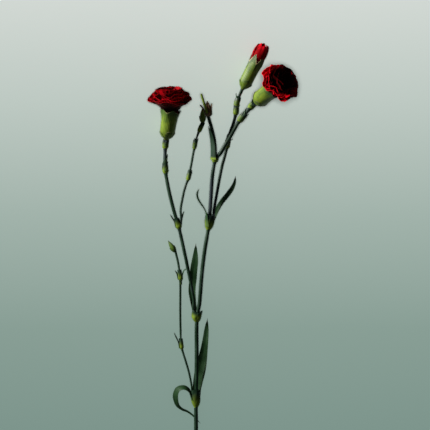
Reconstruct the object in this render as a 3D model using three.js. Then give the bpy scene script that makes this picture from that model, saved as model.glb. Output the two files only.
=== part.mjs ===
// A cut spray of carnations lying on a table: one branching stem with two open flowers, a red bud,
// two green buds and a withered head. Millimetres, +Z up, +Y from the cut end towards the flowers.
// The origin is the middle of the bottom of the whole spray, on the surface that it lies on.

import * as THREE from "three";

// ---- Sizes that can be set by themselves, in millimetres and degrees ----

const clearance = 0.35; // between two pieces that touch
const ringStep = 11; // between the rings of a stalk
const knotHalf = 2.4; // half the length of the swelling at a knot

// A leg runs from one knot to the next: its length on the table's plane, its heading from +Y towards +X,
// how much it rises, and its bends, each [share of the leg, sideways, upwards].
const legs = {
  foot: { length: 46.6, heading: 0.0, rise: 3.1, bends: [] },
  lower: { length: 81.2, heading: 0.7, rise: 4.6, bends: [[0.5, 0.15, 0.3]] },
  middle: {
    length: 86.7, heading: 7.4, rise: 4.5,
    bends: [[0.13, 0.6, 0.1], [0.5, -0.7, 0.3], [0.75, -0.8, 0.3]],
  },
  upper: { length: 63.9, heading: 5.3, rise: 2.5, bends: [[0.4, -0.4, 0.2], [0.75, -1.0, 0.2]] },
  top: {
    length: 39.9, heading: -8.9, rise: 0.5,
    bends: [[0.22, 1.6, 0.2], [0.5, 2.1, 0.3], [0.72, 1.6, 0.2]],
  },
  leftBranch: {
    length: 82.8, heading: -10.2, rise: 2.0,
    bends: [[0.12, 1.6, 0.2], [0.5, 1.5, 0.9], [0.75, 0.9, 0.6]],
  },
  leftFlower: {
    length: 82.1, heading: -8.4, rise: -3.7,
    bends: [[0.13, -1.7, 0.2], [0.36, -3.8, 0.4], [0.6, -4.7, -0.4], [0.74, -4.1, -0.6]],
  },
  greenBud: {
    length: 95.3, heading: 12.5, rise: -2.4,
    bends: [[0.07, -2.0, 0.1], [0.17, -3.0, 0.3], [0.35, -3.0, 0.6], [0.44, -1.9, 0.8],
      [0.71, -2.5, 0.6], [0.84, -2.7, 0.3]],
  },
  redBud: {
    length: 127.6, heading: 12.5, rise: -6.4,
    bends: [[0.07, -1.0, 0.1], [0.24, -2.0, 0.3], [0.42, -2.6, 0.2], [0.54, -2.0, -0.3], [0.65, -2.4, -0.7],
      [0.74, -1.0, -0.8], [0.84, -0.9, -0.7], [0.89, -1.9, -0.5]],
  },
  rightFlower: {
    length: 59.6, heading: 34.9, rise: 7.2,
    bends: [[0.17, -0.6, -0.3], [0.39, -1.5, -0.7], [0.6, -2.6, -0.8], [0.8, -1.7, -0.8]],
  },
  twigLower: { length: 48.9, heading: -12.9, rise: 1.2, bends: [[0.34, 1.4, 0.6], [0.7, 0.9, 0.4]] },
  twigMiddle: { length: 65.5, heading: -1.2, rise: -1.6, bends: [[0.25, -0.6, 0.1], [0.55, -0.5, 0.3]] },
  twigTop: { length: 24.5, heading: -9.9, rise: -1.9, bends: [[0.55, 0.6, 0.2]] },
};

// A stalk's radius at its start and end, how far its knots stand out, and the sides of its section.
const stalks = {
  main: { from: 1.85, to: 1.45, swell: 0.9, sides: 9 },
  left: { from: 1.3, to: 1.6, swell: 0.75, sides: 8 },
  right: { from: 1.6, to: 1.65, swell: 0.7, sides: 8 },
  redBud: { from: 1.15, to: 1.4, swell: 0.75, sides: 8 },
  greenBud: { from: 0.95, to: 0.9, swell: 0.6, sides: 8 },
  twig: { from: 0.8, to: 1.0, swell: 0.65, sides: 8 },
  snipped: { from: 1.05, to: 0.95, swell: 0.25, sides: 8 },
};

// A head's axis: its heading on the table's plane, and its tilt up from it.
const poses = {
  leftFlower: { heading: 7.0, tilt: 15 },
  rightFlower: { heading: 52.0, tilt: 44 },
  redBud: { heading: 26.5, tilt: 3 },
  greenBud: { heading: 0, tilt: -2 },
  twigBud: { heading: -33, tilt: -3 },
  withered: { heading: -1, tilt: 4 },
  snipped: { heading: -17, tilt: 12 },
};

// A flower's petals stand in whorls, from the outside in. root is the outermost petals' distance from the axis
// in the calyx, inset how much nearer to it a whorl stands than that one, open the angle at which its petals
// end, length their whole run, and width the widest.
const petalThickness = 0.5;
const petalFoot = 9.5; // height of the petals' roots above the calyx's base
const flowers = {
  left: {
    root: 5.5, claw: 17.5, lean: 7, calyxRun: 19.5, wall: 0.8, tooth: 2.6,
    whorls: [
      { count: 5, turn: 18, inset: 0, open: 66, length: 37.0, width: 24 },
      { count: 4, turn: 10, inset: 1.3, open: 45, length: 39.5, width: 21 },
      { count: 3, turn: 40, inset: 2.7, open: 22, length: 40.5, width: 15 },
    ],
  },
  right: {
    root: 6.4, claw: 17.0, lean: 8, calyxRun: 19.0, wall: 0.8, tooth: 2.6,
    whorls: [
      { count: 5, turn: 54, inset: 0, open: 68, length: 37.5, width: 24 },
      { count: 4, turn: 30, inset: 1.5, open: 46, length: 39.5, width: 21 },
      { count: 3, turn: 0, inset: 3.1, open: 22, length: 40.0, width: 15 },
    ],
  },
};
const redBud = {
  root: 5.3, claw: 28, lean: 2, calyxRun: 20, wall: 0.8, tooth: 6,
  whorls: [{ count: 3, turn: 70, inset: 0, open: -42, length: 37.5, width: 16 }],
};
const bractWall = 0.6; // thickness of the scale bracts under a calyx
const bractReach = 8; // how far up the calyx they stand
const greenBudSize = { length: 14.5, radius: 3.1 };
const twigBudSize = { length: 13.0, radius: 2.6 };
const witheredSize = { length: 12.5, radius: 3.6, wall: 0.55, tooth: 5.5 };
const snippedLength = 19;

const leafThickness = 0.8;
const bractThickness = 0.6;

// ---- Colours and materials ----

const finish = (color, roughness) => new THREE.MeshStandardMaterial({ color, roughness, metalness: 0 });
const stemSkin = finish(0x3d5a45, 0.6);
const leafSkin = finish(0x34553a, 0.6);
const calyxSkin = finish(0x7f9e45, 0.5);
const witheredSkin = finish(0x6a4a28, 0.85);
const petalSkin = finish(0x8e0a18, 0.8);

// ---- Shapes ----

const degrees = Math.PI / 180;
const up = new THREE.Vector3(0, 0, 1);
const mix = (a, b, t) => a + (b - a) * t;
const ease = (t) => THREE.MathUtils.smoothstep(t, 0, 1);

// The direction with a heading from +Y towards +X and a tilt up from the table.
const direction = (heading, tilt = 0) =>
  new THREE.Vector3(
    Math.sin(heading * degrees) * Math.cos(tilt * degrees),
    Math.cos(heading * degrees) * Math.cos(tilt * degrees),
    Math.sin(tilt * degrees),
  );

// Where a leg ends.
const legEnd = (from, leg) =>
  from.clone().addScaledVector(direction(leg.heading), leg.length).addScaledVector(up, leg.rise);

// The points of a leg after its start: its bends, then its end.
function legPoints(from, leg) {
  const end = legEnd(from, leg);
  const right = direction(leg.heading + 90);
  const bends = leg.bends.map(([share, sideways, upwards]) =>
    from.clone().lerp(end, share).addScaledVector(right, sideways).addScaledVector(up, upwards));
  return [...bends, end];
}

// A smooth curve along legs from a start, straightened at its end along the head's axis if one is given.
// knots are the distances along the curve at which its legs but the last end.
function trail(start, chain, headAxis) {
  const points = [start];
  const ends = [];
  for (const leg of chain) {
    points.push(...legPoints(points.at(-1), leg));
    ends.push(points.length - 1);
  }
  const straight = 5;
  if (headAxis) points.splice(-1, 0, points.at(-1).clone().addScaledVector(headAxis, -straight));
  const curve = new THREE.CatmullRomCurve3(points, false, "centripetal");
  const fine = 50 * (points.length - 1);
  const lengths = curve.getLengths(fine);
  const knots = ends.slice(0, -1).map((i) => lengths[i * 50]);
  return { curve, knots, length: lengths.at(-1) };
}

// The frame of a curve at a distance along it: side lies on the table's plane, to the right of the way along.
function frameAt({ curve, length }, distance) {
  const share = THREE.MathUtils.clamp(distance / length, 0, 1);
  const point = curve.getPointAt(share);
  const along = curve.getTangentAt(share);
  const side = along.clone().cross(up).normalize();
  return { point, along, side, over: side.clone().cross(along).normalize() };
}

// A closed body through rings that all have the same number of points. Each end runs to a tip if one is
// given, and otherwise is closed straight across, from each point to the one that faces it.
function loft(rings, firstTip, lastTip) {
  const n = rings[0].length;
  const last = rings.length - 1;
  const points = rings.flat();
  const at = (i, j) => i * n + (j % n);
  const faces = [];
  const quad = (a, b, c, d) => faces.push(a, b, c, c, b, d);
  for (let i = 0; i < last; i++)
    for (let j = 0; j < n; j++) quad(at(i, j), at(i + 1, j), at(i, j + 1), at(i + 1, j + 1));
  if (firstTip) {
    points.push(firstTip, lastTip);
    for (let j = 0; j < n; j++) {
      faces.push(points.length - 2, at(0, j), at(0, j + 1));
      faces.push(points.length - 1, at(last, j + 1), at(last, j));
    }
  } else {
    for (let j = 0; j + 1 < n / 2; j++) {
      quad(at(0, j), at(0, j + 1), at(0, n - 1 - j), at(0, n - 2 - j));
      quad(at(last, j + 1), at(last, j), at(last, n - 2 - j), at(last, n - 1 - j));
    }
  }
  const geometry = new THREE.BufferGeometry().setFromPoints(points);
  geometry.setIndex(faces);
  geometry.computeVertexNormals();
  return geometry;
}

// How thick a stalk is at a distance along it, with its knots.
function stalkRadius(path, size, distance) {
  const swelling = path.knots.reduce(
    (sum, knot) => sum + size.swell * Math.exp(-(((distance - knot) / knotHalf) ** 2)), 0);
  return mix(size.from, size.to, distance / path.length) + swelling;
}

// A stalk along a path: rings at even steps and closer together at its knots, with slightly domed ends.
function stalk(path, size) {
  const near = [-1.6, -0.8, 0, 0.8, 1.6].map((share) => share * knotHalf);
  const close = path.knots.flatMap((knot) => near.map((offset) => knot + offset));
  const count = Math.ceil(path.length / ringStep);
  const even = Array.from({ length: count + 1 }, (_, i) => (path.length * i) / count)
    .filter((d) => path.knots.every((knot) => Math.abs(d - knot) > 2.1 * knotHalf));
  const rings = [...even, ...close].sort((a, b) => a - b).map((distance) => {
    const { point, side, over } = frameAt(path, distance);
    const radius = stalkRadius(path, size, distance);
    return Array.from({ length: size.sides }, (_, k) => {
      const turn = (2 * Math.PI * k) / size.sides;
      return point.clone()
        .addScaledVector(side, radius * Math.cos(turn))
        .addScaledVector(over, radius * Math.sin(turn));
    });
  });
  const dome = 0.25;
  const first = frameAt(path, 0);
  const last = frameAt(path, path.length);
  return loft(
    rings,
    first.point.addScaledVector(first.along, -dome),
    last.point.addScaledVector(last.along, dome),
  );
}

// The value at a share of the way along a list of [share, value] stops.
function between(stops, share) {
  const after = Math.max(1, stops.findIndex(([at]) => at >= share));
  const [[from, a], [to, b]] = [stops[after - 1], stops[after]];
  return mix(a, b, (share - from) / (to - from));
}

// A leaf along a route. Its section is an arc: width is measured along the arc, curl is half the arc's angle
// in radians, and roll turns its hollow side from facing up to facing left, in degrees.
function blade(route, { width, curl, roll, thickness, across = [-1, -0.35, 0.35, 1] }) {
  const curve = new THREE.CatmullRomCurve3(route, false, "centripetal");
  const path = { curve, length: curve.getLength() };
  const count = Math.max(6, Math.ceil(path.length / 6));
  const rings = Array.from({ length: count + 1 }, (_, i) => {
    const share = i / count;
    const { point, side, over } = frameAt(path, share * path.length);
    const half = between(curl, share);
    const arc = between(width, share) / (2 * half);
    const tip = Math.min(1, 0.35 + 4 * (1 - share));
    const turned = between(roll, share) * degrees;
    const right = side.clone().multiplyScalar(Math.cos(turned)).addScaledVector(over, Math.sin(turned));
    const hollow = over.clone().multiplyScalar(Math.cos(turned)).addScaledVector(side, -Math.sin(turned));
    const place = (v, face) => {
      const angle = half * v;
      const depth = (face * thickness * tip * (1 - 0.55 * v * v)) / 2;
      return point.clone()
        .addScaledVector(right, arc * Math.sin(angle) - depth * Math.sin(angle))
        .addScaledVector(hollow, arc * (1 - Math.cos(angle)) + depth * Math.cos(angle));
    };
    return [...across.map((v) => place(v, -1)), ...across.toReversed().map((v) => place(v, 1))];
  });
  return loft(rings);
}

// The route of a leaf: it starts at its knot, on the side given, clear of the swelling, and goes on by steps.
function leafRoute(knot, knotRadius, side, thickness, steps) {
  const away = new THREE.Vector3(...side).normalize().multiplyScalar(knotRadius + clearance + thickness / 2);
  const start = knot.clone().add(away);
  return [start, ...steps.map((step) => start.clone().add(new THREE.Vector3(...step)))];
}

// A sheath that wraps a stalk along a stretch of its path, open along a slit at the side given by roll.
function sheath(path, size, from, long, roll) {
  const wrap = 2.45;
  const count = 4;
  const room = 1.6 * clearance + bractThickness / 2;
  const arc = Math.max(size.from, size.to) + room;
  const foot = stalkRadius(path, size, from) + room;
  const route = Array.from({ length: count }, (_, i) => {
    const { point, side, over } = frameAt(path, from + (long * i) / (count - 1));
    const away = i === 0 ? foot : arc;
    return point.addScaledVector(over, -away * Math.cos(roll * degrees))
      .addScaledVector(side, away * Math.sin(roll * degrees));
  });
  return blade(route, {
    width: [[0, 2 * wrap * foot], [0.3, 2 * wrap * arc], [0.7, 1.3 * wrap * arc], [1, 0.6 * arc]],
    curl: [[0, wrap], [0.3, wrap], [0.7, 0.65 * wrap], [1, 0.3]],
    roll: [[0, roll], [1, roll]],
    thickness: bractThickness,
    across: [-1, -0.75, -0.45, -0.15, 0.15, 0.45, 0.75, 1],
  });
}

// The line of a petal in a plane through the flower's axis, as a function of the run along it from its root:
// a straight claw, then a limb whose heading from the axis turns smoothly from lean to open.
function petalLine({ inset, open, length }, { root, claw, lean }) {
  const step = 0.25;
  const spots = [{ radius: root - inset, height: petalFoot, angle: 0 }];
  for (let run = step; run <= length + claw; run += step) {
    const clawAngle = lean * ease(run / claw);
    const limbAngle = (open - lean) * ease((run - claw * 0.8) / (length - claw * 0.8));
    const angle = (clawAngle + limbAngle) * degrees;
    const { radius, height } = spots.at(-1);
    spots.push({ radius: radius + step * Math.sin(angle), height: height + step * Math.cos(angle), angle });
  }
  return (run) => spots[Math.min(spots.length - 1, Math.max(0, Math.round(run / step)))];
}

// The point of a flower at an angle round its axis, off a spot on a petal's line by a distance outwards.
function aroundAxis({ radius, height, angle }, turn, outwards = 0) {
  const r = radius + outwards * Math.cos(angle);
  return new THREE.Vector3(r * Math.cos(turn), r * Math.sin(turn), height - outwards * Math.sin(angle));
}

// A petal: a claw that widens to a round-ended limb, one slice of its whorl.
function petal(whorl, flower, index) {
  const line = petalLine(whorl, flower);
  const middle = (whorl.turn + (360 * index) / whorl.count) * degrees;
  const claw = 1.6;
  const across = [-1, -0.5, 0, 0.5, 1];
  const runs = [0, 0.22, 0.42, 0.56, 0.7, 0.84, 0.94, 1];
  const shares = [0, 0, 0.12, 0.45, 0.8, 1, 0.8, 0.42];
  const rings = runs.map((share, i) => {
    const spot = line(share * whorl.length);
    const most = Math.PI / whorl.count - clearance / spot.radius;
    const half = Math.min(mix(claw, whorl.width / 2, shares[i]) / spot.radius, most);
    const place = (v, face) => aroundAxis(spot, middle + half * v, (face * petalThickness) / 2);
    return [...across.map((v) => place(v, -1)), ...across.toReversed().map((v) => place(v, 1))];
  });
  return loft(rings);
}

// A cup round the axis from two profiles of [radius, height]: the outside from its foot to its rim, and the
// inside from its rim to its floor. teeth points of the given length stand up along the rim's own slope.
function cup({ outside, inside, foot, floor, teeth, tooth, slope, segments = 20 }) {
  const point = (share) => 1 - Math.abs(1 - 2 * (share - Math.floor(share)));
  const ring = ([radius, height], rise) =>
    Array.from({ length: segments }, (_, k) => {
      const turn = (-2 * Math.PI * k) / segments;
      const lift = rise * tooth * point((teeth * k) / segments);
      const r = radius + lift * Math.sin(slope);
      return new THREE.Vector3(r * Math.cos(turn), r * Math.sin(turn), height + lift * Math.cos(slope));
    });
  const rings = [
    ...outside.map((spot, i) => ring(spot, i === outside.length - 1 ? 1 : 0)),
    ...inside.map((spot, i) => ring(spot, i === 0 ? 1 : 0)),
  ];
  return loft(rings, new THREE.Vector3(0, 0, foot), new THREE.Vector3(0, 0, floor));
}

// A quarter of an ellipse from the axis outwards and up: the rounded foot of a calyx.
const belly = (radius, foot, height, turns) =>
  turns.map((turn) => [radius * Math.sin(turn * degrees), foot + height * (1 - Math.cos(turn * degrees))]);

// A calyx: a rounded foot, then a wall that follows the outer petals, clear of them, up to its teeth.
const calyxFoot = bractWall + clearance;
function calyx(flower) {
  const line = petalLine(flower.whorls[0], flower);
  const gap = petalThickness / 2 + 1.3 * clearance;
  const wallAt = (run, outwards) => {
    const spot = line(run);
    return [spot.radius + outwards * Math.cos(spot.angle), spot.height - outwards * Math.sin(spot.angle)];
  };
  const runs = [0.02, 0.35, 0.72, 1].map((share) => share * flower.calyxRun);
  const outer = runs.map((run) => wallAt(run, gap + flower.wall));
  return cup({
    foot: calyxFoot,
    floor: petalFoot - 3 * clearance,
    outside: [...belly(outer[0][0], calyxFoot + 0.2, petalFoot - calyxFoot - 0.8, [20, 48, 75]), ...outer],
    inside: [
      ...runs.toReversed().map((run) => wallAt(run, gap)),
      [flower.root + gap, petalFoot - 2 * clearance],
    ],
    teeth: 5,
    tooth: flower.tooth,
    slope: Math.max(line(flower.calyxRun).angle, line(flower.calyxRun + flower.tooth).angle),
  });
}

// The scale bracts under a calyx: a shallow cup that holds its foot, with four points.
function scaleBracts(flower) {
  const wide = flower.root + petalThickness / 2 + clearance + flower.wall;
  const turns = [20, 48, 75];
  const height = petalFoot - calyxFoot - 0.8;
  return cup({
    foot: 0,
    floor: bractWall,
    outside: belly(wide + clearance + bractWall, 0.2, height + 0.4, turns),
    inside: belly(wide + clearance, bractWall + 0.2, height, turns).toReversed(),
    teeth: 4,
    tooth: bractReach - height,
    slope: 0.05,
  });
}

// A closed bud: a round body that narrows to a point.
function closedBud({ length, radius }) {
  const outline = [[0.02, 0.38], [0.1, 0.7], [0.25, 0.96], [0.42, 1], [0.6, 0.84], [0.78, 0.52], [0.92, 0.2]];
  const rings = outline.map(([along, wide]) =>
    Array.from({ length: 10 }, (_, k) => {
      const turn = (-2 * Math.PI * k) / 10;
      const r = radius * wide;
      return new THREE.Vector3(r * Math.cos(turn), r * Math.sin(turn), length * along);
    }));
  return loft(rings, new THREE.Vector3(0, 0, 0), new THREE.Vector3(0, 0, length));
}

// A withered calyx: a thin torn cup.
function witheredCup({ length, radius, wall, tooth }) {
  return cup({
    foot: 0,
    floor: 2 * wall,
    outside: [
      [0.5 * radius, 0.3],
      [0.85 * radius, 0.25 * length],
      [radius, 0.5 * length],
      [0.92 * radius, 0.72 * length],
    ],
    inside: [
      [0.92 * radius - wall, 0.72 * length],
      [radius - wall, 0.5 * length],
      [0.85 * radius - wall, 0.28 * length],
      [0.4 * radius, 3 * wall],
    ],
    teeth: 4,
    tooth,
    slope: 0.06,
    segments: 16,
  });
}

// ---- The spray ----

const spray = new THREE.Group();

function add(name, geometry, material, parent = spray) {
  const mesh = new THREE.Mesh(geometry, material);
  mesh.name = name;
  parent.add(mesh);
  return mesh;
}

// A head's own frame: its foot on the end of its stalk, +Z along its axis, +X to the right along the table.
function head(stalkEnd, pose) {
  const axis = direction(pose.heading, pose.tilt);
  const right = axis.clone().cross(up).normalize();
  const group = new THREE.Group();
  group.position.copy(stalkEnd).addScaledVector(axis, clearance + 0.3);
  const basis = new THREE.Matrix4().makeBasis(right, axis.clone().cross(right), axis);
  group.quaternion.setFromRotationMatrix(basis);
  spray.add(group);
  return group;
}

// Where a side stalk leaves its parent, just above a knot, beside it in the direction given.
function sprout(knot, heading, side, parentRadius, ownRadius) {
  const above = 1.9 * knotHalf;
  const away = new THREE.Vector3(...side).normalize().multiplyScalar(parentRadius + clearance + ownRadius);
  return knot.clone().addScaledVector(direction(heading), above).add(away);
}

// Knots of the main stem.
const cutEnd = new THREE.Vector3(0, 0, stalks.main.from);
const firstKnot = legEnd(cutEnd, legs.foot);
const secondKnot = legEnd(firstKnot, legs.lower);
const thirdKnot = legEnd(secondKnot, legs.middle);
const fourthKnot = legEnd(thirdKnot, legs.upper);
const mainKnotRadius = stalks.main.from + stalks.main.swell;

const mainStem = trail(cutEnd, [legs.foot, legs.lower, legs.middle, legs.upper, legs.top],
  direction(poses.withered.heading, poses.withered.tilt));
add("main_stem", stalk(mainStem, stalks.main), stemSkin);

// The left branch leaves the second knot and forks at its own knot.
const leftStart = sprout(secondKnot, legs.middle.heading, [-1, 0, 0], stalks.main.from, stalks.left.from);
const forkKnot = legEnd(leftStart, legs.leftBranch);
const leftStalk = trail(leftStart, [legs.leftBranch, legs.leftFlower],
  direction(poses.leftFlower.heading, poses.leftFlower.tilt));
leftStalk.knots.push(leftStalk.length - 29, leftStalk.length - 5.5);
add("left_flower_stalk", stalk(leftStalk, stalks.left), stemSkin);

const greenStart = sprout(forkKnot, legs.leftFlower.heading, [1, 0, 0.1],
  stalks.left.to, stalks.greenBud.from);
const greenStalk = trail(greenStart, [legs.greenBud],
  direction(poses.greenBud.heading + 25, poses.greenBud.tilt));
greenStalk.knots.push(greenStalk.length - 54, greenStalk.length - 23.5, greenStalk.length - 6.6);
add("green_bud_stalk", stalk(greenStalk, stalks.greenBud), stemSkin);

const redStart = sprout(thirdKnot, legs.upper.heading, [1, 0, -0.15], stalks.main.from, stalks.redBud.from);
const redStalk = trail(redStart, [legs.redBud], direction(poses.redBud.heading, poses.redBud.tilt));
redStalk.knots.push(redStalk.length - 55, redStalk.length - 22, redStalk.length - 14.5);
add("red_bud_stalk", stalk(redStalk, stalks.redBud), stemSkin);

const rightStart = sprout(fourthKnot, 18, [0.75, 0, 0.66], stalks.main.from, stalks.right.from);
const rightStalk = trail(rightStart, [legs.rightFlower],
  direction(poses.rightFlower.heading, poses.rightFlower.tilt));
rightStalk.knots.push(rightStalk.length - 23, rightStalk.length - 7.5);
add("right_flower_stalk", stalk(rightStalk, stalks.right), stemSkin);

const twigStart = sprout(firstKnot, legs.foot.heading, [-1, 0, 0.25], stalks.main.from, stalks.twig.from);
const twig = trail(twigStart, [legs.twigLower, legs.twigMiddle, legs.twigTop],
  direction(poses.twigBud.heading + 15, poses.twigBud.tilt));
const lowerTwigKnot = legEnd(twigStart, legs.twigLower);
const upperTwigKnot = legEnd(lowerTwigKnot, legs.twigMiddle);
add("lower_twig", stalk(twig, stalks.twig), stemSkin);

// Leaves at the knots of the main stem.
add("lower_leaf", blade(
  leafRoute(firstKnot, mainKnotRadius, [0.45, 0, -0.9], leafThickness,
    [[-0.8, 9, -0.2], [0.9, 21, -0.6], [4.6, 40, -0.6], [7.4, 59, 0.1], [9.3, 79, -0.5]]), {
    width: [[0, 6.0], [0.05, 8.0], [0.15, 8.6], [0.27, 10], [0.385, 10.9], [0.5, 9.0], [0.63, 6.9],
      [0.87, 4.1], [1, 0.8]],
    curl: [[0, 0.85], [0.12, 0.8], [0.35, 0.6], [1, 0.4]],
    roll: [[0, 27], [0.1, 10], [1, 0]],
    thickness: leafThickness,
  }), leafSkin);
add("curled_leaf", blade(
  leafRoute(firstKnot, mainKnotRadius, [-1, 0, 0.05], leafThickness,
    [[-1.4, 4, 0.1], [-2.4, 8.6, 0.4], [-5.1, 11.9, 1.2], [-8.9, 13.3, 1.6], [-12.7, 12.4, 1.5],
      [-15.5, 9, 0.8], [-16, 3.8, 0], [-15, -1.9, -1.2], [-11.7, -6.7, -2.4], [-7, -8.6, -3.4],
      [-3.2, -10.9, -4.1], [0.6, -13.8, -4.25], [7.6, -21.4, -4.1]]), {
    width: [[0, 6.6], [0.1, 5.4], [0.25, 5.0], [0.42, 5.2], [0.52, 4.4], [0.64, 2.4], [0.78, 1.7],
      [0.9, 1.4], [1, 0.7]],
    curl: [[0, 0.8], [0.15, 0.5], [0.3, 0.4], [1, 0.2]],
    roll: [[0, -90], [0.12, -75], [0.32, -22], [0.6, -8], [1, 0]],
    thickness: leafThickness,
  }), leafSkin);
add("middle_leaf", blade(
  leafRoute(secondKnot, mainKnotRadius, [-0.5, 0, -0.86], leafThickness,
    [[-1.4, 9, -0.9], [-2.3, 15.7, -1.2], [-3.2, 25, -1.6], [-2.0, 36.6, -2.0], [-1.5, 44.2, -2.2],
      [-0.2, 54, -2.7], [0.6, 69.3, -3.8]]), {
    width: [[0, 6.6], [0.08, 5.4], [0.2, 5.6], [0.36, 6.7], [0.6, 7.0], [0.74, 6.4], [0.84, 4.6], [1, 0.8]],
    curl: [[0, 1.0], [0.1, 0.75], [0.25, 0.5], [1, 0.35]],
    roll: [[0, -30], [0.3, -8], [1, 0]],
    thickness: leafThickness,
  }), leafSkin);
add("upper_leaf", blade(
  leafRoute(thirdKnot, mainKnotRadius, [0.5, 0, -0.87], leafThickness,
    [[1.9, 5.5, -1.4], [3.9, 10.5, -1.6], [9.9, 21.9, -1.2], [17.5, 31.5, -1.0], [22.4, 39.9, -1.4],
      [23.7, 47.5, -2.0]]), {
    width: [[0, 6.4], [0.1, 4.6], [0.25, 4.0], [0.5, 4.6], [0.7, 4.4], [0.86, 3.0], [1, 0.7]],
    curl: [[0, 0.8], [0.12, 0.65], [0.5, 0.6], [1, 0.5]],
    roll: [[0, 30], [0.12, 14], [1, 10]],
    thickness: leafThickness,
  }), leafSkin);
add("thin_leaf", blade(
  leafRoute(thirdKnot, mainKnotRadius, [-0.8, 0, 0.6], leafThickness,
    [[0.2, 6, 0.5], [0.2, 13.3, 0.8], [-3.1, 19, 0.7], [-6.8, 24.7, 0.2], [-8.3, 30.4, -0.5],
      [-6.4, 35.6, -1.2]]), {
    width: [[0, 6.4], [0.12, 5.0], [0.28, 3.4], [0.42, 1.6], [0.6, 1.3], [0.82, 1.7], [1, 0.6]],
    curl: [[0, 1.05], [0.12, 0.95], [0.3, 0.6], [0.45, 0.3], [1, 0.2]],
    roll: [[0, -125], [0.3, -100], [0.5, -40], [1, -10]],
    thickness: leafThickness,
  }), leafSkin);
add("clasping_leaf", blade(
  leafRoute(fourthKnot, mainKnotRadius, [-0.78, 0, 0.62], leafThickness,
    [[0.3, 8.5, 0.1], [-0.5, 18, 0.1], [-2.5, 27.6, 0], [-3.6, 30.9, 0]]), {
    width: [[0, 6.0], [0.25, 4.6], [0.55, 3.8], [0.8, 2.6], [1, 0.6]],
    curl: [[0, 1.0], [0.3, 0.9], [0.7, 0.7], [1, 0.4]],
    roll: [[0, -128], [1, -128]],
    thickness: leafThickness,
  }), leafSkin);

// Small bracts at the knots of the branches.
const bract = (name, knot, knotRadius, side, steps, roll) =>
  add(name, blade(leafRoute(knot, knotRadius, side, bractThickness, steps), {
    width: [[0, 2.6], [0.35, 1.9], [0.7, 1.4], [1, 0.5]],
    curl: [[0, 0.8], [0.5, 0.5], [1, 0.3]],
    roll: [[0, roll], [1, roll * 0.5]],
    thickness: bractThickness,
  }), leafSkin);
const forkRadius = stalks.left.to + stalks.left.swell;
const twigKnotRadius = stalks.twig.to + stalks.twig.swell;
bract("fork_bract_left", forkKnot, forkRadius, [-1, 0, 0],
  [[-0.9, 4, 0.3], [-2.6, 7.1, 0.5], [-5, 10.9, 0.3]], -80);
bract("fork_bract_right", forkKnot, forkRadius, [0.8, 0, -0.6],
  [[0.4, 5.7, -0.5], [1.2, 9.5, -0.6], [2.8, 14.2, -0.8]], 50);
bract("twig_bract_lower", lowerTwigKnot, twigKnotRadius, [-1, 0, 0],
  [[-0.6, 3.8, 0.2], [-2.6, 8.5, 0.3], [-4.8, 13.3, 0.2]], -80);
bract("twig_bract_left", upperTwigKnot, twigKnotRadius, [-1, 0, 0],
  [[-0.6, 3.5, 0.2], [-2.4, 7.1, 0.3]], -80);
bract("twig_bract_right", upperTwigKnot, twigKnotRadius, [1, 0, 0],
  [[0.2, 3.5, 0.2], [1.5, 7.1, 0.4], [4.3, 9, 0.2]], 80);

// Sheaths on the flower stalks, from the knots up.
add("left_stalk_sheath", sheath(leftStalk, stalks.left, leftStalk.length - 29, 15, 60), leafSkin);
add("right_stalk_sheath", sheath(rightStalk, stalks.right, rightStalk.length - 23, 11, -60), leafSkin);
add("red_bud_sheath", sheath(redStalk, stalks.redBud, redStalk.length - 55, 10, -40), leafSkin);
add("green_bud_sheath", sheath(greenStalk, stalks.greenBud, greenStalk.length - 23.5, 7, 60), leafSkin);

// The flowers and the red bud.
function addFlower(side, flower, path, pose) {
  const group = head(path.curve.getPoint(1), pose);
  add(`${side}_scale_bracts`, scaleBracts(flower), calyxSkin, group);
  add(`${side}_calyx`, calyx(flower), calyxSkin, group);
  const places = ["outer", "middle", "inner"];
  flower.whorls.forEach((whorl, w) => {
    for (let i = 0; i < whorl.count; i++)
      add(`${side}_${places[w]}_petal_${i + 1}`, petal(whorl, flower, i), petalSkin, group);
  });
}
addFlower("left", flowers.left, leftStalk, poses.leftFlower);
addFlower("right", flowers.right, rightStalk, poses.rightFlower);
addFlower("bud", redBud, redStalk, poses.redBud);

// The green buds, and the withered head with the stub of a stalk that was snipped off.
add("green_bud", closedBud(greenBudSize), calyxSkin, head(greenStalk.curve.getPoint(1), poses.greenBud));
add("twig_bud", closedBud(twigBudSize), calyxSkin, head(twig.curve.getPoint(1), poses.twigBud));
const mainEnd = mainStem.curve.getPoint(1);
add("withered_calyx", witheredCup(witheredSize), witheredSkin, head(mainEnd, poses.withered));
const snippedAxis = direction(poses.snipped.heading, poses.snipped.tilt);
const snippedStart = mainEnd.clone()
  .addScaledVector(direction(poses.withered.heading), 4)
  .addScaledVector(direction(poses.withered.heading + 90), -1.3)
  .addScaledVector(up, witheredSize.radius + clearance + stalks.snipped.from);
const snippedStub = new THREE.CatmullRomCurve3([0, 0.5, 1].map((share) =>
  snippedStart.clone()
    .addScaledVector(snippedAxis, share * snippedLength)
    .addScaledVector(up, 1.6 * share * (1 - share))));
const snippedPath = { curve: snippedStub, knots: [], length: snippedStub.getLength() };
add("snipped_stalk", stalk(snippedPath, stalks.snipped), stemSkin);

// The spray is set down with the middle of its bottom at the origin.
const bounds = new THREE.Box3().setFromObject(spray, true);
const centre = bounds.getCenter(new THREE.Vector3());
spray.position.set(-centre.x, -centre.y, -bounds.min.z);

const part = new THREE.Group();
part.add(spray);
export default part;
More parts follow.
